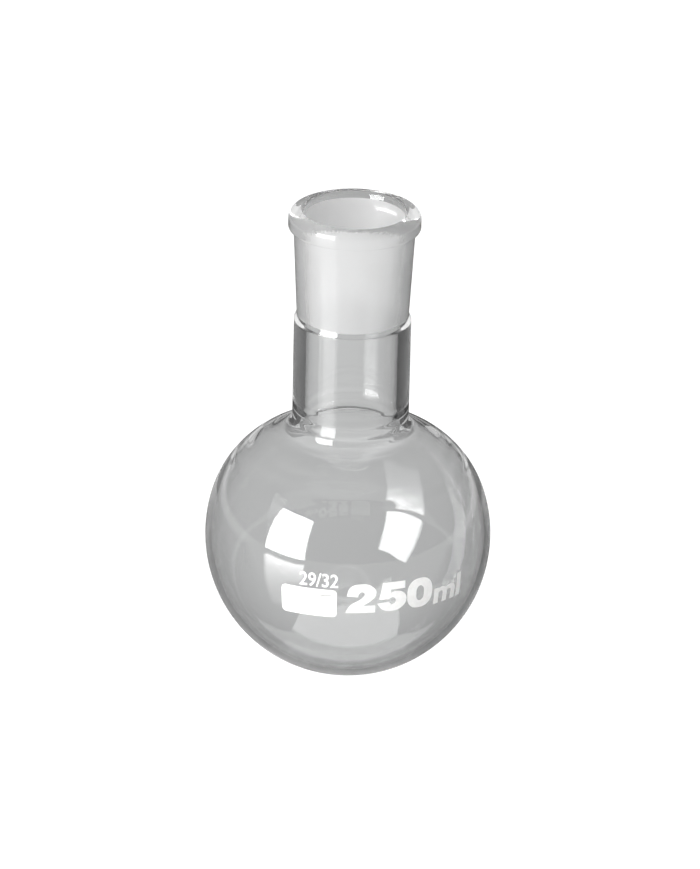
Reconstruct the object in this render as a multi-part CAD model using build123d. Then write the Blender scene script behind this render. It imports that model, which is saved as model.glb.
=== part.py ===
from build123d import *
import os
from math import atan2, cos, degrees, radians, sin, sqrt

# Round-bottom laboratory flask, 250 ml: one piece of blown borosilicate glass with a
# conical ground socket at its mouth. Millimetres, +Z up the axis, origin at the lowest
# point of the bulb. The whole wall is one outline in the XZ plane, turned about Z.

# Bulb
bulb_diameter = 85.0  # outside
bulb_wall = 1.8
shoulder_start = 18.0  # degrees above the bulb's equator where the shoulder arc takes over
shoulder_tightening = 9.5  # how much smaller the shoulder's radius is than the bulb's
root_fillet = 5.0  # outside, where the shoulder turns up into the neck

# Neck tube
neck_diameter = 34.4  # outside
neck_wall = 3.7
neck_length = 30.7  # from the top of the root fillet to the foot of the ground zone

# Conical socket, ground inside: the standard 29/32 taper
ground_diameter = 29.2  # inside, at the wide end
ground_length = 32.0
ground_taper = 0.1  # change of diameter for each millimetre of length
socket_wall = 3.35
weld_height = 1.7  # the step outside, from neck tube to socket
weld_round = 0.8
relief_height = 1.2  # the step inside, from ground zone to neck bore

# Mouth
flare_depth = 1.9  # clear glass between the ground zone and the lip
flare_growth = 0.55  # how far the bore opens over that depth, on the radius
lip_round = 1.2
bead_height = 5.8
bead_projection = 1.6  # how far the bead stands out from the socket
bead_top_round = 2.6
bead_foot_round = 1.1

# Bulb and shoulder: two arcs that meet at shoulder_start with one tangent
bulb_r = bulb_diameter / 2
neck_r = neck_diameter / 2
bore_r = neck_r - neck_wall
shoulder_r = bulb_r - shoulder_tightening
shoulder_centre_x = shoulder_tightening * cos(radians(shoulder_start))
shoulder_centre_z = bulb_r + shoulder_tightening * sin(radians(shoulder_start))
root_centre_x = neck_r + root_fillet


def root_centre_height(radius_sum):
    """Height of a root arc's centre, radius_sum away from the shoulder's centre."""
    across = root_centre_x - shoulder_centre_x
    return shoulder_centre_z + sqrt(radius_sum**2 - across**2)


root_inner_r = root_fillet + neck_wall
root_z = root_centre_height(shoulder_r + root_fillet)
root_inner_z = root_centre_height(shoulder_r - bulb_wall + root_inner_r)

# Socket and mouth, from the neck up
ground_foot_z = root_z + neck_length
ground_top_z = ground_foot_z + ground_length
mouth_z = ground_top_z + flare_depth
ground_top_r = ground_diameter / 2
ground_foot_r = ground_top_r - ground_length * ground_taper / 2
mouth_r = ground_top_r + flare_growth
bead_foot_z = mouth_z - bead_height
weld_top_z = ground_foot_z + weld_height


def socket_r(z):
    """Outside radius of the socket's cone, which runs parallel to the ground zone."""
    return ground_foot_r + socket_wall + (z - ground_foot_z) * ground_taper / 2


bead_r = socket_r(bead_foot_z) + bead_projection
top_round = min(bead_top_round, bead_r - mouth_r - lip_round - 0.1)
foot_round = min(bead_foot_round, 0.8 * bead_projection)


def bulb_side(wall, root_arc_r, root_arc_z):
    """One face of the bulb's wall: bulb arc, shoulder arc and root arc up to the neck."""
    turn = degrees(atan2(root_arc_z - shoulder_centre_z, root_centre_x - shoulder_centre_x))
    CenterArc((0, bulb_r), bulb_r - wall, -90, 90 + shoulder_start)
    shoulder_centre = (shoulder_centre_x, shoulder_centre_z)
    CenterArc(shoulder_centre, shoulder_r - wall, shoulder_start, turn - shoulder_start)
    CenterArc((root_centre_x, root_arc_z), root_arc_r, 180 + turn, -turn)


with BuildPart() as flask:
    with BuildSketch(Plane.XZ):
        with BuildLine():
            bulb_side(0, root_fillet, root_z)
            FilletPolyline(
                (neck_r, root_z),
                (neck_r, ground_foot_z),
                (socket_r(weld_top_z), weld_top_z),
                (socket_r(bead_foot_z), bead_foot_z),
                (bead_r, bead_foot_z),
                (bead_r, mouth_z),
                (mouth_r, mouth_z),
                (ground_top_r, ground_top_z),
                (ground_foot_r, ground_foot_z),
                (bore_r, ground_foot_z - relief_height),
                (bore_r, root_inner_z),
                radius=[weld_round, weld_round, 0, foot_round, top_round, lip_round, 0, 0, 0],
            )
            bulb_side(bulb_wall, root_inner_r, root_inner_z)
            Line((0, 0), (0, bulb_wall))
        make_face()
    revolve(axis=Axis.Z)

os.makedirs("parts", exist_ok=True)
export_step(flask.part, "parts/flask_body.step")
print("height", round(mouth_z, 2), "neck top", round(root_z, 2), "ground foot", round(ground_foot_z, 2))
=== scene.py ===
import bmesh
import bpy
import math
from mathutils import Matrix, Vector


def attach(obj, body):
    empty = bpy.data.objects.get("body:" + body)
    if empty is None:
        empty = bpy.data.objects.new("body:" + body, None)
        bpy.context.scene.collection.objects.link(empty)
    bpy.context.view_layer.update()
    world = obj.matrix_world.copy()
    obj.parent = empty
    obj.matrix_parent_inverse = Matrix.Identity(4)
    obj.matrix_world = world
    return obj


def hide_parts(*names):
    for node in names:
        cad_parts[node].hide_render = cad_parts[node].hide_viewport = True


# A 250 ml laboratory flask of clear blown glass: round bulb, neck tube, and a conical
# socket that is ground matt inside. White enamel print on the front of the bulb.
# Lengths are in millimetres here and become metres through MM.

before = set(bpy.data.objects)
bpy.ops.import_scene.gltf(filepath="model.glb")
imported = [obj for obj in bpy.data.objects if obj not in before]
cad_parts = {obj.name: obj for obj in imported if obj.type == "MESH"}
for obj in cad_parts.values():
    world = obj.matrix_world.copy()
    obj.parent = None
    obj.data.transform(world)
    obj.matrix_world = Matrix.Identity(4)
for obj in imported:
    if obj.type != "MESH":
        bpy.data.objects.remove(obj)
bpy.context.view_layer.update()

MM = 0.001
GLASS_IOR = 1.474  # borosilicate
TRAPPED_FROM = 3  # reflections after which a ray counts as trapped in the wall

# Bulb and shoulder
BULB_RADIUS = 42.5
BULB_WALL = 1.8
SHOULDER_START = 18.0  # degrees above the bulb's middle
SHOULDER_TIGHTENING = 9.5
ROOT_FILLET = 5.0

# Neck tube and socket
NECK_RADIUS = 17.2
NECK_WALL = 3.7
NECK_LENGTH = 30.7
GROUND_TOP_RADIUS = 14.6
GROUND_LENGTH = 32.0
GROUND_TAPER = 0.1
SOCKET_WALL = 3.35
WELD_HEIGHT = 1.7
WELD_ROUND = 0.8
RELIEF_HEIGHT = 1.2

# Mouth
FLARE_DEPTH = 1.9
FLARE_GROWTH = 0.55
LIP_ROUND = 1.2
BEAD_HEIGHT = 5.8
BEAD_PROJECTION = 1.6
BEAD_TOP_ROUND = 2.6
BEAD_FOOT_ROUND = 1.1

# Rings in the wall where the bulb is drawn in to the neck
RIPPLE_BAND = (64.0, 87.0)  # heights between which they show
RIPPLE_STRETCH = (14, 14, 190)  # close together in height, and long round the wall
RIPPLE_TILT = math.radians(3)
RIPPLE_DEPTH = 0.9

# How finely the wall is drawn, with the steps of arcs in degrees
SEGMENTS = 192
ARC_STEP = 1.0
ROOT_STEP = 5.0
BEND_STEP = 9.0
CORNER_GUARD = 0.12  # from a sharp corner to the extra point beside it
BEND_GUARD = 0.15  # from a rounded bend to the extra point beside it
LONGEST_PIECE = 2.5
GROUND_MARGIN = 0.4  # past the ground zone's widest radius, and well inside the outer face
JOIN_DISTANCE = 1e-6  # metres

# Enamel print
PRINT_LIFT = 0.02  # clear of the glass
PRINT_THICKNESS = 0.05
FIGURE_HEIGHT = 9.3
PATCH_WIDTH = 16.8
PATCH_HEIGHT = 9.0
PATCH_ROUND = 1.3
CAPITAL_SHARE = 0.73  # how much of the font's size a capital's height is

# Where the photograph was taken from
CAMERA_DISTANCE = 1.5  # metres from the point on the axis that it looks at
CAMERA_PITCH = 23.64  # degrees downwards
CAMERA_ROLL = 1.3  # degrees
AIM_HEIGHT = 74.47
LENS = 210.2  # focal length
SENSOR_WIDTH = 36

# The studio. Places and lengths are in metres, levels are brightnesses.
ROOM_LEVEL = 0.50  # the room for a ray that was not reflected
SKY_LEVEL = 0.12  # the room for a reflected ray
SCATTER_LEVEL = 0.9  # room and table for a trapped ray, which mostly shows in the rim
PANEL_WALLS = 3  # walls a ray has passed before the top and back panels show
PANEL_LEVEL = 2.4
PANEL_HEIGHT = 0.8  # above the bulb's middle
PANEL_CORNERS = [(-0.76, -0.39), (0.58, 0.28), (0.76, 1.23), (-0.75, 1.51)]  # per metre up
BACK_LEVEL = 1.0
BACK_DISTANCE = 1.1
BACK_CORNERS = [(-0.6, 0.15), (0.6, 0.15), (0.6, 0.95), (-0.6, 0.95)]
WINDOW_TURN = math.radians(50)  # to the left of the camera's side
WINDOW_PLACE = Vector((-0.8 * math.sin(WINDOW_TURN), -0.8 * math.cos(WINDOW_TURN), 0.33))
WINDOW_WIDTH = 0.49
WINDOW_HEIGHT = 0.60
WINDOW_LEVEL = 15.0
LAMPS = [
    ("window_light", WINDOW_PLACE, 6.2),
    ("top_light", (-0.05, 0.3, 0.9), 1.9),
    ("front_light", (0.5, -0.9, 0.5), 2.2),
]
LAMP_AIM = (0, 0, 0.08)
LAMP_WIDTH = 0.9
LAMP_HEIGHT = 0.7

# The table
TABLE_DROP = 0.0002  # below the bulb's lowest point
TABLE_REACH = 2.5
SEEN_REACH = (0.3, 0.8)  # from the axis, where the table gets brighter for the camera
SEEN_LEVELS = (0.76, 1.0)
# The tones the table glows with for the glass: an even grey with painted light and shade on it
SIDE_REACH = (-0.12, 0.12)  # from left to right, where its painted tone for the glass changes
PLAIN_PAINTED_LIGHT_LEVELS = (0.44, 0.32)  # an even grey painted lighter on the left towards the window and darker on the right, for a ray that was not reflected
PAINTED_SHADE_LEVELS = (0.05, 0.0)  # painted shade, left and right, for a reflected ray
PAINTED_SHADE_FRONT = (-0.08, -0.03)  # the painted shade begins here, just before the flask
PAINTED_SHADE_EDGE = (0.35, 0.6)  # from the axis, where the painted shade ends
# A painted pool of light, slightly lighter, inside the painted shade
PAINTED_POOL_LEVEL = 0.08
PAINTED_POOL_CENTRE = (-0.02, 0.02, 0.0)
PAINTED_POOL_REACH = (0.02, 0.07)

shoulder_radius = BULB_RADIUS - SHOULDER_TIGHTENING
shoulder_x = SHOULDER_TIGHTENING * math.cos(math.radians(SHOULDER_START))
shoulder_z = BULB_RADIUS + SHOULDER_TIGHTENING * math.sin(math.radians(SHOULDER_START))
root_x = NECK_RADIUS + ROOT_FILLET
bore_radius = NECK_RADIUS - NECK_WALL
root_inner = ROOT_FILLET + NECK_WALL


def root_height(radius_sum):
    """Height of a root arc's centre, radius_sum away from the shoulder's centre."""
    return shoulder_z + math.sqrt(radius_sum**2 - (root_x - shoulder_x) ** 2)


root_z = root_height(shoulder_radius + ROOT_FILLET)
root_inner_z = root_height(shoulder_radius - BULB_WALL + root_inner)
ground_foot_z = root_z + NECK_LENGTH
ground_top_z = ground_foot_z + GROUND_LENGTH
mouth_z = ground_top_z + FLARE_DEPTH
ground_foot_radius = GROUND_TOP_RADIUS - GROUND_LENGTH * GROUND_TAPER / 2
mouth_radius = GROUND_TOP_RADIUS + FLARE_GROWTH
bead_foot_z = mouth_z - BEAD_HEIGHT
weld_top_z = ground_foot_z + WELD_HEIGHT


def socket_radius(z):
    """Outside radius of the socket's cone."""
    return ground_foot_radius + SOCKET_WALL + (z - ground_foot_z) * GROUND_TAPER / 2


bead_radius = socket_radius(bead_foot_z) + BEAD_PROJECTION


def arc(centre, radius, start, end, step=ARC_STEP):
    """Points along an arc, angles in degrees, one about every step degrees."""
    count = max(2, round(abs(end - start) / step))
    turns = [math.radians(start + (end - start) * i / count) for i in range(count + 1)]
    return [(centre[0] + radius * math.cos(a), centre[1] + radius * math.sin(a)) for a in turns]


def rounded_run(corners, rounds):
    """A run of straight lines through corners, each rounded by the radius given for it.

    Extra points close to each bend keep the shading of the straight parts straight."""
    points = [Vector(corners[0])]
    for before, corner, after, radius in zip(corners, corners[1:], corners[2:], rounds):
        before, corner, after = Vector(before), Vector(corner), Vector(after)
        back, on = (before - corner).normalized(), (after - corner).normalized()
        if radius == 0:
            points += [corner + back * CORNER_GUARD, corner, corner + on * CORNER_GUARD]
            continue
        half = back.angle(on) / 2
        reach = radius / math.tan(half)
        centre = corner + (back + on).normalized() * (radius / math.sin(half))
        first, last = corner + back * reach - centre, corner + on * reach - centre
        turn = first.angle_signed(last)
        count = max(3, round(abs(math.degrees(turn)) / BEND_STEP))
        points.append(corner + back * (reach + BEND_GUARD))
        for i in range(count + 1):
            spin = Matrix.Rotation(-turn * i / count, 2)
            points.append(centre + spin @ first)
        points.append(corner + on * (reach + BEND_GUARD))
    points.append(Vector(corners[-1]))
    filled = [points[0]]
    for point in points[1:]:
        gap = (point - filled[-1]).length
        pieces = max(1, math.ceil(gap / LONGEST_PIECE))
        start = filled[-1]
        filled += [start.lerp(point, i / pieces) for i in range(1, pieces + 1)]
    return [tuple(p) for p in filled]


def bulb_side(wall, root_radius, root_centre_z):
    """One face of the bulb's wall, from the axis up to the neck."""
    turn = math.degrees(math.atan2(root_centre_z - shoulder_z, root_x - shoulder_x))
    bulb = arc((0, BULB_RADIUS), BULB_RADIUS - wall, -90, SHOULDER_START)
    shoulder = arc((shoulder_x, shoulder_z), shoulder_radius - wall, SHOULDER_START, turn)
    root = arc((root_x, root_centre_z), root_radius, 180 + turn, 180, ROOT_STEP)
    bulb[0] = (0.0, bulb[0][1])
    return bulb + shoulder[1:] + root[1:]


def flask_outline():
    """The wall's outline: up the outside from the axis, over the mouth, down the inside."""
    upper = rounded_run(
        [
            (NECK_RADIUS, root_z),
            (NECK_RADIUS, ground_foot_z),
            (socket_radius(weld_top_z), weld_top_z),
            (socket_radius(bead_foot_z), bead_foot_z),
            (bead_radius, bead_foot_z),
            (bead_radius, mouth_z),
            (mouth_radius, mouth_z),
            (GROUND_TOP_RADIUS, ground_top_z),
            (ground_foot_radius, ground_foot_z),
            (bore_radius, ground_foot_z - RELIEF_HEIGHT),
            (bore_radius, root_inner_z),
        ],
        [WELD_ROUND, WELD_ROUND, 0, BEAD_FOOT_ROUND, BEAD_TOP_ROUND, LIP_ROUND, 0, 0, 0],
    )
    outside = bulb_side(0, ROOT_FILLET, root_z)
    inside = bulb_side(BULB_WALL, root_inner, root_inner_z)
    return outside + upper[1:] + inside[-2::-1]


class Tree:
    """A Geometry Nodes tree with named inputs, built node by node."""

    def __init__(self, name, numbers=(), counts=(), materials=()):
        self.group = bpy.data.node_groups.new(name, "GeometryNodeTree")
        sockets = self.group.interface
        sockets.new_socket("Geometry", in_out="INPUT", socket_type="NodeSocketGeometry")
        for kind, names in (("Float", numbers), ("Int", counts), ("Material", materials)):
            for label in names:
                sockets.new_socket(label, in_out="INPUT", socket_type="NodeSocket" + kind)
        sockets.new_socket("Geometry", in_out="OUTPUT", socket_type="NodeSocketGeometry")
        self.inputs = self.group.nodes.new("NodeGroupInput").outputs
        self.result = self.group.nodes.new("NodeGroupOutput").inputs[0]

    def node(self, kind, values=(), **settings):
        """Adds a node. values maps an input's name or number to a socket or a constant."""
        made = self.group.nodes.new(kind)
        for key, value in settings.items():
            setattr(made, key, value)
        for key, value in dict(values).items():
            if isinstance(value, bpy.types.NodeSocket):
                self.group.links.new(value, made.inputs[key])
            else:
                made.inputs[key].default_value = value
        return made

    def math(self, operation, a, b=0.0):
        return self.node("ShaderNodeMath", {0: a, 1: b}, operation=operation).outputs[0]

    def whole(self, operation, a, b):
        return self.node("FunctionNodeIntegerMath", {0: a, 1: b}, operation=operation).outputs[0]

    def finish(self, geometry):
        self.group.links.new(geometry, self.result)
        return self.group


def turning_tree():
    """Turns an outline, given as a row of points in the XZ plane, about the Z axis."""
    tree = Tree(
        "turn_outline",
        numbers=("Ground foot", "Ground top", "Ground reach"),
        counts=("Segments",),
        materials=("Clear glass", "Ground glass"),
    )
    rows = tree.node(
        "GeometryNodeAttributeDomainSize", {"Geometry": tree.inputs["Geometry"]}
    ).outputs["Point Count"]
    columns = tree.whole("ADD", tree.inputs["Segments"], 1)
    grid = tree.node("GeometryNodeMeshGrid", {"Vertices X": columns, "Vertices Y": rows})
    index = tree.node("GeometryNodeInputIndex").outputs[0]
    position = tree.node("GeometryNodeInputPosition").outputs[0]
    outline_point = tree.node(
        "GeometryNodeSampleIndex",
        {"Geometry": tree.inputs["Geometry"], "Value": position,
         "Index": tree.whole("MODULO", index, rows)},
        data_type="FLOAT_VECTOR",
    ).outputs["Value"]
    step = tree.math("DIVIDE", math.tau, tree.inputs["Segments"])
    angle = tree.math("MULTIPLY", tree.whole("DIVIDE_FLOOR", index, rows), step)
    parts = tree.node("ShaderNodeSeparateXYZ", {0: outline_point}).outputs
    place = tree.node(
        "ShaderNodeCombineXYZ",
        {0: tree.math("MULTIPLY", parts[0], tree.math("COSINE", angle)),
         1: tree.math("MULTIPLY", parts[0], tree.math("SINE", angle)),
         2: parts[2]},
    ).outputs[0]
    turned = tree.node(
        "GeometryNodeSetPosition", {"Geometry": grid.outputs["Mesh"], "Position": place}
    ).outputs[0]
    closed = tree.node(
        "GeometryNodeMergeByDistance", {"Geometry": turned, "Distance": JOIN_DISTANCE}
    ).outputs[0]
    smooth = tree.node("GeometryNodeSetShadeSmooth", {"Geometry": closed}).outputs[0]
    clear = tree.node(
        "GeometryNodeSetMaterial",
        {"Geometry": smooth, "Material": tree.inputs["Clear glass"]},
    ).outputs[0]
    here = tree.node("ShaderNodeSeparateXYZ", {0: position}).outputs
    reach = tree.math(
        "SQRT",
        tree.math("ADD", tree.math("POWER", here[0], 2.0), tree.math("POWER", here[1], 2.0)),
    )
    in_zone = tree.math(
        "MULTIPLY",
        tree.math("MULTIPLY",
                  tree.math("GREATER_THAN", here[2], tree.inputs["Ground foot"]),
                  tree.math("LESS_THAN", here[2], tree.inputs["Ground top"])),
        tree.math("LESS_THAN", reach, tree.inputs["Ground reach"]),
    )
    whole = tree.node("GeometryNodeRealizeInstances", {"Geometry": clear}).outputs[0]
    ground = tree.node(
        "GeometryNodeSetMaterial",
        {"Geometry": whole, "Selection": in_zone, "Material": tree.inputs["Ground glass"]},
    ).outputs[0]
    return tree.finish(ground)


def wrapping_tree():
    """Lays a flat print, drawn in the XY plane, round the bulb: X goes to longitude and
    Y to latitude, measured along the glass from the middle of the bulb's front."""
    tree = Tree(
        "wrap_on_bulb",
        numbers=("Bulb radius", "Bulb centre", "Lift", "Turn", "Rise"),
        materials=("Enamel",),
    )
    fine = tree.node(
        "GeometryNodeSubdivideMesh", {"Mesh": tree.inputs["Geometry"], "Level": 2}
    ).outputs[0]
    flat = tree.node(
        "ShaderNodeSeparateXYZ", {0: tree.node("GeometryNodeInputPosition").outputs[0]}
    ).outputs
    across = tree.math(
        "ADD", tree.math("DIVIDE", flat[0], tree.inputs["Bulb radius"]), tree.inputs["Turn"]
    )
    up = tree.math(
        "ADD", tree.math("DIVIDE", flat[1], tree.inputs["Bulb radius"]), tree.inputs["Rise"]
    )
    out = tree.math(
        "ADD", tree.math("ADD", flat[2], tree.inputs["Bulb radius"]), tree.inputs["Lift"]
    )
    level = tree.math("MULTIPLY", out, tree.math("COSINE", up))
    forward = tree.math("MULTIPLY", level, tree.math("COSINE", across))
    place = tree.node(
        "ShaderNodeCombineXYZ",
        {0: tree.math("MULTIPLY", level, tree.math("SINE", across)),
         1: tree.math("MULTIPLY", forward, -1.0),
         2: tree.math("ADD", tree.inputs["Bulb centre"],
                      tree.math("MULTIPLY", out, tree.math("SINE", up)))},
    ).outputs[0]
    laid = tree.node("GeometryNodeSetPosition", {"Geometry": fine, "Position": place}).outputs[0]
    whole = tree.node("GeometryNodeRealizeInstances", {"Geometry": laid}).outputs[0]
    painted = tree.node(
        "GeometryNodeSetMaterial", {"Geometry": whole, "Material": tree.inputs["Enamel"]}
    ).outputs[0]
    return tree.finish(painted)


def made_by(tree, mesh, name, values):
    """Runs a tree on a mesh and returns its result as a plain object at the origin."""
    source = bpy.data.objects.new(name + "_source", mesh)
    bpy.context.scene.collection.objects.link(source)
    modifier = source.modifiers.new("shape", "NODES")
    modifier.node_group = tree
    identifiers = {
        item.name: item.identifier
        for item in tree.interface.items_tree
        if item.in_out == "INPUT"
    }
    for label, value in values.items():
        modifier[identifiers[label]] = value
    evaluated = source.evaluated_get(bpy.context.evaluated_depsgraph_get())
    result = bpy.data.meshes.new_from_object(evaluated)
    source.modifiers.remove(modifier)
    bpy.data.objects.remove(source)
    result.name = name
    piece = bpy.data.objects.new(name, result)
    bpy.context.scene.collection.objects.link(piece)
    return piece


def bare_material(name):
    """A node material with nothing in it but its output."""
    material = bpy.data.materials.new(name)
    material.use_nodes = True
    material.node_tree.nodes.clear()
    return material, material.node_tree.nodes, material.node_tree.links


def let_lamps_through(nodes, links, shader, share):
    """Lets a share of a lamp's light pass a glass wall, so that what is behind it is lit.
    A trapped ray leaves the wall straight on, and doesn't end up black."""
    output = nodes.new("ShaderNodeOutputMaterial")
    path = nodes.new("ShaderNodeLightPath")
    passing = nodes.new("ShaderNodeBsdfTransparent")
    passing.inputs["Color"].default_value = (share, share, share, 1)
    mix = nodes.new("ShaderNodeMixShader")
    trapped = nodes.new("ShaderNodeMath")
    trapped.operation = "GREATER_THAN"
    trapped.inputs[1].default_value = TRAPPED_FROM - 0.5
    leaving = nodes.new("ShaderNodeMath")
    leaving.operation = "MAXIMUM"
    links.new(path.outputs["Glossy Depth"], trapped.inputs[0])
    links.new(path.outputs["Is Shadow Ray"], leaving.inputs[0])
    links.new(trapped.outputs[0], leaving.inputs[1])
    links.new(leaving.outputs[0], mix.inputs[0])
    links.new(shader, mix.inputs[1])
    links.new(passing.outputs[0], mix.inputs[2])
    links.new(mix.outputs[0], output.inputs["Surface"])


def shoulder_ripples(nodes, links, place):
    """The rings that the blower's tool leaves where the bulb is drawn in to the neck."""
    squeeze = nodes.new("ShaderNodeMapping")
    squeeze.inputs["Scale"].default_value = RIPPLE_STRETCH
    squeeze.inputs["Rotation"].default_value = (0, RIPPLE_TILT, 0)
    rings = nodes.new("ShaderNodeTexNoise")
    rings.inputs["Scale"].default_value = 1.0
    rings.inputs["Detail"].default_value = 1.0
    parts = nodes.new("ShaderNodeSeparateXYZ")
    rise = nodes.new("ShaderNodeFloatCurve")
    height = nodes.new("ShaderNodeMapRange")
    height.inputs["From Min"].default_value = RIPPLE_BAND[0] * MM
    height.inputs["From Max"].default_value = RIPPLE_BAND[1] * MM
    curve = rise.mapping.curves[0]
    curve.points[0].location, curve.points[1].location = (0, 0), (1, 0)
    curve.points.new(0.5, 1.0)
    rise.mapping.update()
    bump = nodes.new("ShaderNodeBump")
    bump.inputs["Distance"].default_value = RIPPLE_DEPTH * MM
    links.new(place, squeeze.inputs["Vector"])
    links.new(squeeze.outputs[0], rings.inputs["Vector"])
    links.new(place, parts.inputs[0])
    links.new(parts.outputs[2], height.inputs["Value"])
    links.new(height.outputs["Result"], rise.inputs["Value"])
    links.new(rise.outputs[0], bump.inputs["Strength"])
    links.new(rings.outputs["Fac"], bump.inputs["Height"])
    return bump.outputs[0]


def glass_shader(nodes, colour, roughness, clearness):
    """Borosilicate glass, polished or ground."""
    glass = nodes.new("ShaderNodeBsdfPrincipled")
    glass.inputs["Base Color"].default_value = (*colour, 1)
    glass.inputs["Roughness"].default_value = roughness
    glass.inputs["IOR"].default_value = GLASS_IOR
    glass.inputs["Transmission Weight"].default_value = clearness
    return glass


def uneven(nodes, links, scale, detail, strength, depth):
    """A surface that isn't quite even: where it is, its noise, and the bump node from it."""
    place = nodes.new("ShaderNodeTexCoord").outputs["Object"]
    noise = nodes.new("ShaderNodeTexNoise")
    noise.inputs["Scale"].default_value = scale
    noise.inputs["Detail"].default_value = detail
    bump = nodes.new("ShaderNodeBump")
    bump.inputs["Strength"].default_value = strength
    bump.inputs["Distance"].default_value = depth * MM
    links.new(place, noise.inputs["Vector"])
    links.new(noise.outputs["Fac"], bump.inputs["Height"])
    return place, noise.outputs["Fac"], bump


def clear_glass_material():
    """Polished glass, with the faint waviness of glass blown by hand."""
    material, nodes, links = bare_material("clear_glass")
    glass = glass_shader(nodes, colour=(0.975, 0.98, 0.98), roughness=0.0, clearness=1.0)
    place, _, bump = uneven(nodes, links, scale=55.0, detail=1.5, strength=0.25, depth=0.4)
    links.new(shoulder_ripples(nodes, links, place), bump.inputs["Normal"])
    links.new(bump.outputs[0], glass.inputs["Normal"])
    let_lamps_through(nodes, links, glass.outputs[0], share=0.96)
    return material


def ground_glass_material():
    """The matt white grain that grinding leaves on the socket's inside."""
    material, nodes, links = bare_material("ground_glass")
    glass = glass_shader(nodes, colour=(0.92, 0.92, 0.92), roughness=0.5, clearness=0.74)
    bump = uneven(nodes, links, scale=2600.0, detail=3.0, strength=0.35, depth=0.12)[2]
    links.new(bump.outputs[0], glass.inputs["Normal"])
    let_lamps_through(nodes, links, glass.outputs[0], share=0.7)
    return material


def enamel_material():
    """Fired white enamel: satin, a little uneven in how thickly it was printed."""
    material, nodes, links = bare_material("white_enamel")
    output = nodes.new("ShaderNodeOutputMaterial")
    enamel = nodes.new("ShaderNodeBsdfPrincipled")
    enamel.inputs["Roughness"].default_value = 0.42
    enamel.inputs["Specular IOR Level"].default_value = 0.4
    _, patches, bump = uneven(nodes, links, scale=900.0, detail=4.0, strength=0.3, depth=0.06)
    tone = nodes.new("ShaderNodeValToRGB")
    tone.color_ramp.elements[0].position = 0.3
    tone.color_ramp.elements[0].color = (0.88, 0.88, 0.87, 1)
    tone.color_ramp.elements[1].position = 0.7
    tone.color_ramp.elements[1].color = (0.96, 0.96, 0.95, 1)
    links.new(patches, tone.inputs["Fac"])
    links.new(tone.outputs["Color"], enamel.inputs["Base Color"])
    links.new(bump.outputs[0], enamel.inputs["Normal"])
    links.new(enamel.outputs[0], output.inputs["Surface"])
    return material


CLEAR = clear_glass_material()
GROUND = ground_glass_material()
ENAMEL = enamel_material()
WRAPPING = wrapping_tree()


def outline_mesh():
    """The wall's outline as a row of edges in the XZ plane."""
    mesh = bpy.data.meshes.new("flask_outline")
    points = [(r * MM, 0.0, z * MM) for r, z in flask_outline()]
    mesh.from_pydata(points, [(i, i + 1) for i in range(len(points) - 1)], [])
    return mesh


def make_flask():
    flask = made_by(
        turning_tree(), outline_mesh(), "flask_glass",
        {
            "Segments": SEGMENTS,
            "Ground foot": ground_foot_z * MM,
            "Ground top": ground_top_z * MM,
            "Ground reach": (GROUND_TOP_RADIUS + GROUND_MARGIN) * MM,
            "Clear glass": CLEAR,
            "Ground glass": GROUND,
        },
    )
    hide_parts("flask_body")
    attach(flask, "root")
    return flask


# The numerals' outlines: height 1 from foot to head, each point with C for a corner or
# S for a smooth bend.
TWO = [
    [(0.00, 0.00, "C"), (0.94, 0.00, "C"), (0.95, 0.26, "C"), (0.55, 0.26, "C"),
     (0.80, 0.43, "S"), (0.965, 0.68, "S"), (0.84, 0.92, "S"), (0.50, 1.005, "S"),
     (0.15, 0.90, "S"), (0.03, 0.60, "C"), (0.385, 0.57, "C"), (0.44, 0.705, "S"),
     (0.53, 0.74, "S"), (0.60, 0.67, "S"), (0.52, 0.54, "S"), (0.14, 0.27, "S")],
]
FIVE = [
    [(0.17, 1.00, "C"), (0.91, 1.00, "C"), (0.91, 0.75, "C"), (0.44, 0.75, "C"),
     (0.42, 0.645, "C"), (0.60, 0.685, "S"), (0.86, 0.60, "S"), (0.965, 0.36, "S"),
     (0.82, 0.09, "S"), (0.50, -0.015, "S"), (0.17, 0.065, "S"), (0.00, 0.30, "C"),
     (0.38, 0.33, "C"), (0.46, 0.235, "S"), (0.56, 0.26, "S"), (0.61, 0.36, "S"),
     (0.56, 0.45, "S"), (0.46, 0.475, "S"), (0.375, 0.42, "C"), (0.06, 0.43, "C")],
]
NOUGHT = [
    [(0.45, 1.015, "S"), (0.78, 0.90, "S"), (0.905, 0.50, "S"), (0.78, 0.10, "S"),
     (0.45, -0.015, "S"), (0.12, 0.10, "S"), (-0.005, 0.50, "S"), (0.12, 0.90, "S")],
    [(0.45, 0.76, "S"), (0.34, 0.68, "S"), (0.315, 0.50, "S"), (0.34, 0.32, "S"),
     (0.45, 0.24, "S"), (0.56, 0.32, "S"), (0.585, 0.50, "S"), (0.56, 0.68, "S")],
]


def drawn_shape(name, loops, height):
    """A flat filled shape of print from closed outlines, as a curve."""
    curve = bpy.data.curves.new(name, "CURVE")
    curve.dimensions = "2D"
    curve.fill_mode = "BOTH"
    curve.resolution_u = 10
    curve.extrude = PRINT_THICKNESS * MM / 2
    for loop in loops:
        spline = curve.splines.new("BEZIER")
        spline.use_cyclic_u = True
        spline.bezier_points.add(len(loop) - 1)
        for point, (x, y, bend) in zip(spline.bezier_points, loop):
            point.co = (x * height * MM, y * height * MM, 0)
            kind = "VECTOR" if bend == "C" else "AUTO"
            point.handle_left_type = point.handle_right_type = kind
    return curve


def label_shape(width, height, corner):
    """The blank patch for pencil notes, a rounded rectangle."""
    w, h = width / 2, height / 2
    points = []
    for cx, cy, start in ((w, h, 0), (-w, h, 90), (-w, -h, 180), (w, -h, 270)):
        centre = (cx - math.copysign(corner, cx), cy - math.copysign(corner, cy))
        points += [(x, y, "C") for x, y in arc(centre, corner, start, start + 90, 15)]
    return drawn_shape("write_on_patch", [points], 1.0)


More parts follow.
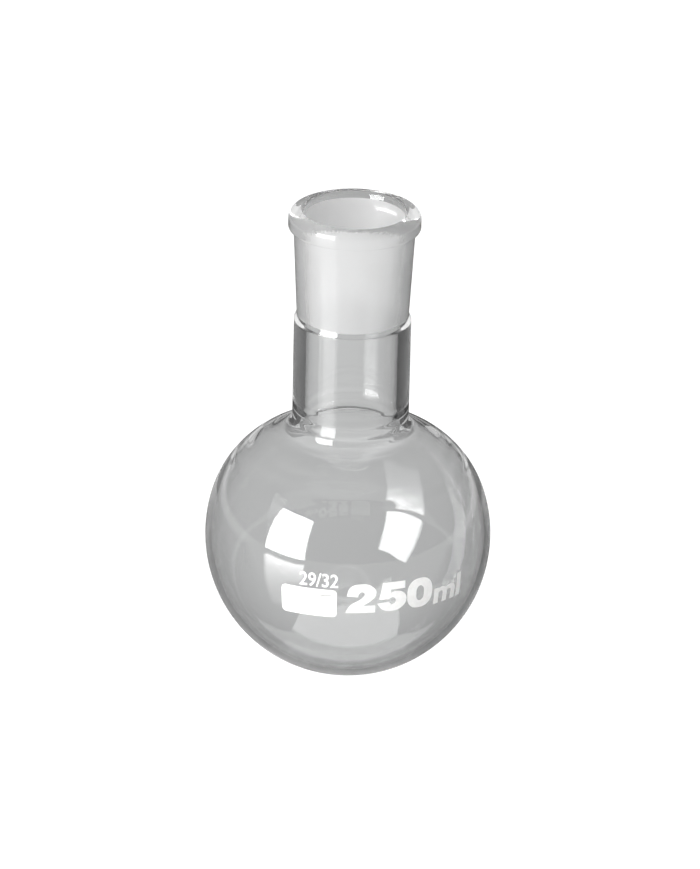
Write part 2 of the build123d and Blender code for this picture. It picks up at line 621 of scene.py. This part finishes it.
def lettering(name, text, height, weight):
    """Plain lettering with capitals height tall, its strokes thickened by weight."""
    curve = bpy.data.curves.new(name, "FONT")
    curve.body = text
    curve.size = height * MM / CAPITAL_SHARE
    curve.offset = weight * MM
    curve.extrude = PRINT_THICKNESS * MM / 2
    curve.resolution_u = 6
    return curve


def print_piece(curve, left, foot, width=None):
    """Makes a mesh of a flat print, as wide as width where that is given, and lays it on
    the bulb from left, foot, in millimetres along the glass."""
    name = curve.name
    holder = bpy.data.objects.new(name + "_flat", curve)
    bpy.context.scene.collection.objects.link(holder)
    evaluated = holder.evaluated_get(bpy.context.evaluated_depsgraph_get())
    mesh = bpy.data.meshes.new_from_object(evaluated)
    bpy.data.objects.remove(holder)
    low = min(v.co.x for v in mesh.vertices)
    high = max(v.co.x for v in mesh.vertices)
    stretch = width * MM / (high - low) if width else 1.0
    mesh.transform(Matrix.Diagonal((stretch, 1, 1, 1)) @ Matrix.Translation((-low, 0, 0)))
    return made_by(
        WRAPPING, mesh, name,
        {
            "Bulb radius": BULB_RADIUS * MM,
            "Bulb centre": BULB_RADIUS * MM,
            "Lift": (PRINT_LIFT + PRINT_THICKNESS / 2) * MM,
            "Turn": left / BULB_RADIUS,
            "Rise": foot / BULB_RADIUS,
            "Enamel": ENAMEL,
        },
    )


def close_mesh(piece):
    """Joins the loose edges of a print piece, so that its shell is closed."""
    shell = bmesh.new()
    shell.from_mesh(piece.data)
    bmesh.ops.remove_doubles(shell, verts=shell.verts, dist=1e-7)
    bmesh.ops.recalc_face_normals(shell, faces=shell.faces)
    shell.to_mesh(piece.data)
    shell.free()


def make_print():
    """The whole print. Each piece has the place where it starts and, for some, its width."""
    pieces = [
        print_piece(label_shape(PATCH_WIDTH, PATCH_HEIGHT, PATCH_ROUND), -19.55, -3.5, PATCH_WIDTH),
        print_piece(drawn_shape("figure_two", TWO, FIGURE_HEIGHT), -0.2, -6.35),
        print_piece(drawn_shape("figure_five", FIVE, FIGURE_HEIGHT), 9.1, -6.2),
        print_piece(drawn_shape("figure_nought", NOUGHT, FIGURE_HEIGHT), 18.3, -6.5),
        print_piece(lettering("joint_size", "29/32", 4.2, 0.075), -14.0, 1.85, 11.6),
        print_piece(lettering("millilitres", "ml", 7.4, 0.3), 27.6, -6.7, 10.8),
    ]
    for piece in pieces:
        close_mesh(piece)
        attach(piece, "root")
    return pieces


def make_camera():
    """The photograph's view: from the front, looking down, a touch out of level."""
    pitch = math.radians(CAMERA_PITCH)
    back = Vector((0, -math.cos(pitch), math.sin(pitch)))
    data = bpy.data.cameras.new("camera")
    data.sensor_width = SENSOR_WIDTH
    data.lens = LENS
    data.clip_start = 0.05
    camera = bpy.data.objects.new("camera", data)
    camera.location = Vector((0, 0, AIM_HEIGHT * MM)) + back * CAMERA_DISTANCE
    camera.rotation_mode = "QUATERNION"
    level = (-back).to_track_quat("-Z", "Y")
    camera.rotation_quaternion = level @ Matrix.Rotation(
        math.radians(CAMERA_ROLL), 3, "Z"
    ).to_quaternion()
    bpy.context.scene.collection.objects.link(camera)
    bpy.context.scene.camera = camera


def ramp(nodes, links, value, reach, levels):
    """Levels at the two ends of a reach of a value, with a smooth way between them."""
    made = nodes.new("ShaderNodeMapRange")
    made.interpolation_type = "SMOOTHSTEP"
    made.inputs["From Min"].default_value, made.inputs["From Max"].default_value = reach
    for end, level in zip(("To Min", "To Max"), levels):
        if isinstance(level, bpy.types.NodeSocket):
            links.new(level, made.inputs[end])
        else:
            made.inputs[end].default_value = level
    links.new(value, made.inputs["Value"])
    return made.outputs["Result"]


def from_count(nodes, links, count, least, levels):
    """The first level below the least count, and the second one from it on."""
    return ramp(nodes, links, count, (least - 0.6, least - 0.4), levels)


def by_reflections(nodes, links, straight, mirrored):
    """One level for rays that were not reflected, one for those that were, and
    SCATTER_LEVEL for trapped ones."""
    count = nodes.new("ShaderNodeLightPath").outputs["Glossy Depth"]
    once = from_count(nodes, links, count, 1, (straight, mirrored))
    return from_count(nodes, links, count, TRAPPED_FROM, (once, SCATTER_LEVEL))


def distance_from(nodes, links, place, centre):
    """How far a point of the table is from centre."""
    distance = nodes.new("ShaderNodeVectorMath")
    distance.operation = "DISTANCE"
    distance.inputs[1].default_value = centre
    links.new(place, distance.inputs[0])
    return distance.outputs["Value"]


def table_tone(nodes, links, place):
    """How bright the table glows through the glass: an even grey with painted light, lighter
    on the left towards the window. A ray that was reflected in the glass finds painted shade
    near the flask, which gives clear glass its dark edges, with a slightly lighter painted pool of
    light in it."""
    parts = nodes.new("ShaderNodeSeparateXYZ")
    links.new(place, parts.inputs[0])
    from_axis = distance_from(nodes, links, place, (0, 0, 0))
    from_pool = distance_from(nodes, links, place, PAINTED_POOL_CENTRE)
    # Painted light: lighter on the left, darker on the right.
    plain = ramp(nodes, links, parts.outputs[0], SIDE_REACH, PLAIN_PAINTED_LIGHT_LEVELS)
    # Painted shade near the flask for a reflected ray, with a painted pool of light in it.
    dark = ramp(nodes, links, parts.outputs[0], SIDE_REACH, PAINTED_SHADE_LEVELS)
    pool = ramp(nodes, links, from_pool, PAINTED_POOL_REACH, (PAINTED_POOL_LEVEL, dark))
    near = ramp(nodes, links, from_axis, PAINTED_SHADE_EDGE, (pool, ROOM_LEVEL))
    mirrored = ramp(nodes, links, parts.outputs[1], PAINTED_SHADE_FRONT, (ROOM_LEVEL, near))
    return by_reflections(nodes, links, plain, mirrored)


def make_floor():
    """A glossy table. Seen directly it is white and keeps the flask's faint shadow. Seen
    through the glass it glows grey with painted light, and with painted shade after a reflection,
    as in the photograph."""
    material, nodes, links = bare_material("table")
    output = nodes.new("ShaderNodeOutputMaterial")
    path = nodes.new("ShaderNodeLightPath")
    seen = nodes.new("ShaderNodeBsdfDiffuse")
    seen.inputs["Color"].default_value = (0.35, 0.35, 0.35, 1)
    bright = nodes.new("ShaderNodeEmission")
    place = nodes.new("ShaderNodeTexCoord").outputs["Object"]
    from_axis = distance_from(nodes, links, place, (0, 0, 0))
    links.new(ramp(nodes, links, from_axis, SEEN_REACH, SEEN_LEVELS), bright.inputs["Strength"])
    white = nodes.new("ShaderNodeAddShader")
    table = nodes.new("ShaderNodeBsdfPrincipled")
    table.inputs["Roughness"].default_value = 0.02
    table.inputs["IOR"].default_value = 1.5
    table.inputs["Base Color"].default_value = (0.03, 0.03, 0.03, 1)
    table.inputs["Emission Color"].default_value = (1, 1, 1, 1)
    mix = nodes.new("ShaderNodeMixShader")
    links.new(seen.outputs[0], white.inputs[0])
    links.new(bright.outputs[0], white.inputs[1])
    # The table glows with painted light and shade for rays that come from the glass.
    links.new(table_tone(nodes, links, place), table.inputs["Emission Strength"])
    links.new(path.outputs["Is Camera Ray"], mix.inputs[0])
    links.new(table.outputs[0], mix.inputs[1])
    links.new(white.outputs[0], mix.inputs[2])
    links.new(mix.outputs[0], output.inputs["Surface"])
    mesh = bpy.data.meshes.new("table")
    z, reach = -TABLE_DROP, TABLE_REACH
    mesh.from_pydata(
        [(-reach, -reach, z), (reach, -reach, z), (reach, reach, z), (-reach, reach, z)],
        [], [(0, 1, 2, 3)],
    )
    mesh.materials.append(material)
    floor = bpy.data.objects.new("table", mesh)
    bpy.context.scene.collection.objects.link(floor)


def softbox(name, place, brightness):
    """A rectangular soft lamp whose face is as bright as brightness."""
    data = bpy.data.lights.new(name, "AREA")
    data.shape = "RECTANGLE"
    data.size, data.size_y = LAMP_WIDTH, LAMP_HEIGHT
    data.energy = brightness * math.pi * LAMP_WIDTH * LAMP_HEIGHT
    lamp = bpy.data.objects.new(name, data)
    lamp.location = place
    lamp.rotation_mode = "QUATERNION"
    lamp.rotation_quaternion = (Vector(LAMP_AIM) - Vector(place)).to_track_quat("-Z", "Y")
    bpy.context.scene.collection.objects.link(lamp)
    return lamp


def make_panel(name, corners, brightness, depth, least):
    """A pale panel of the room that shows only to rays which have the least depth of that
    kind: so many walls passed, or so many reflections."""
    material, nodes, links = bare_material(name)
    output = nodes.new("ShaderNodeOutputMaterial")
    glow = nodes.new("ShaderNodeEmission")
    count = nodes.new("ShaderNodeLightPath").outputs[depth]
    links.new(from_count(nodes, links, count, least, (SKY_LEVEL, brightness)),
              glow.inputs["Strength"])
    links.new(glow.outputs[0], output.inputs["Surface"])
    mesh = bpy.data.meshes.new(name)
    mesh.from_pydata(corners, [], [(0, 1, 2, 3)])
    mesh.materials.append(material)
    panel = bpy.data.objects.new(name, mesh)
    bpy.context.scene.collection.objects.link(panel)
    panel.visible_camera = False
    panel.visible_shadow = False
    panel.visible_diffuse = False


def make_panels():
    """A panel overhead, one behind the flask, and the window at the left front."""
    up = PANEL_HEIGHT
    overhead = [(x * up, y * up, up + BULB_RADIUS * MM) for x, y in PANEL_CORNERS]
    make_panel("top_panel", overhead, PANEL_LEVEL, "Transmission Depth", PANEL_WALLS)
    behind = [(x, BACK_DISTANCE, z) for x, z in BACK_CORNERS]
    make_panel("back_panel", behind, BACK_LEVEL, "Transmission Depth", PANEL_WALLS)
    along = Vector((math.cos(WINDOW_TURN), -math.sin(WINDOW_TURN), 0)) * WINDOW_WIDTH / 2
    rise = Vector((0, 0, WINDOW_HEIGHT / 2))
    turns = ((-1, -1), (1, -1), (1, 1), (-1, 1))
    window = [WINDOW_PLACE + along * i + rise * j for i, j in turns]
    make_panel("window_pane", window, WINDOW_LEVEL, "Glossy Depth", 1)


def make_lights():
    """The lamps, which only light matt surfaces, and the room all round."""
    for name, place, brightness in LAMPS:
        lamp = softbox(name, place, brightness)
        lamp.visible_glossy = False
        lamp.visible_transmission = False
    world = bpy.data.worlds.new("studio")
    bpy.context.scene.world = world
    world.use_nodes = True
    nodes, links = world.node_tree.nodes, world.node_tree.links
    nodes.clear()
    output = nodes.new("ShaderNodeOutputWorld")
    path = nodes.new("ShaderNodeLightPath")
    room = nodes.new("ShaderNodeBackground")
    links.new(by_reflections(nodes, links, ROOM_LEVEL, SKY_LEVEL), room.inputs["Strength"])
    white = nodes.new("ShaderNodeBackground")
    white.inputs["Color"].default_value = (1, 1, 1, 1)
    mix = nodes.new("ShaderNodeMixShader")
    links.new(path.outputs["Is Camera Ray"], mix.inputs[0])
    links.new(room.outputs[0], mix.inputs[1])
    links.new(white.outputs[0], mix.inputs[2])
    links.new(mix.outputs[0], output.inputs["Surface"])


make_camera()
make_flask()
make_print()
make_floor()
make_panels()
make_lights()
bpy.context.scene.view_settings.view_transform = "Standard"
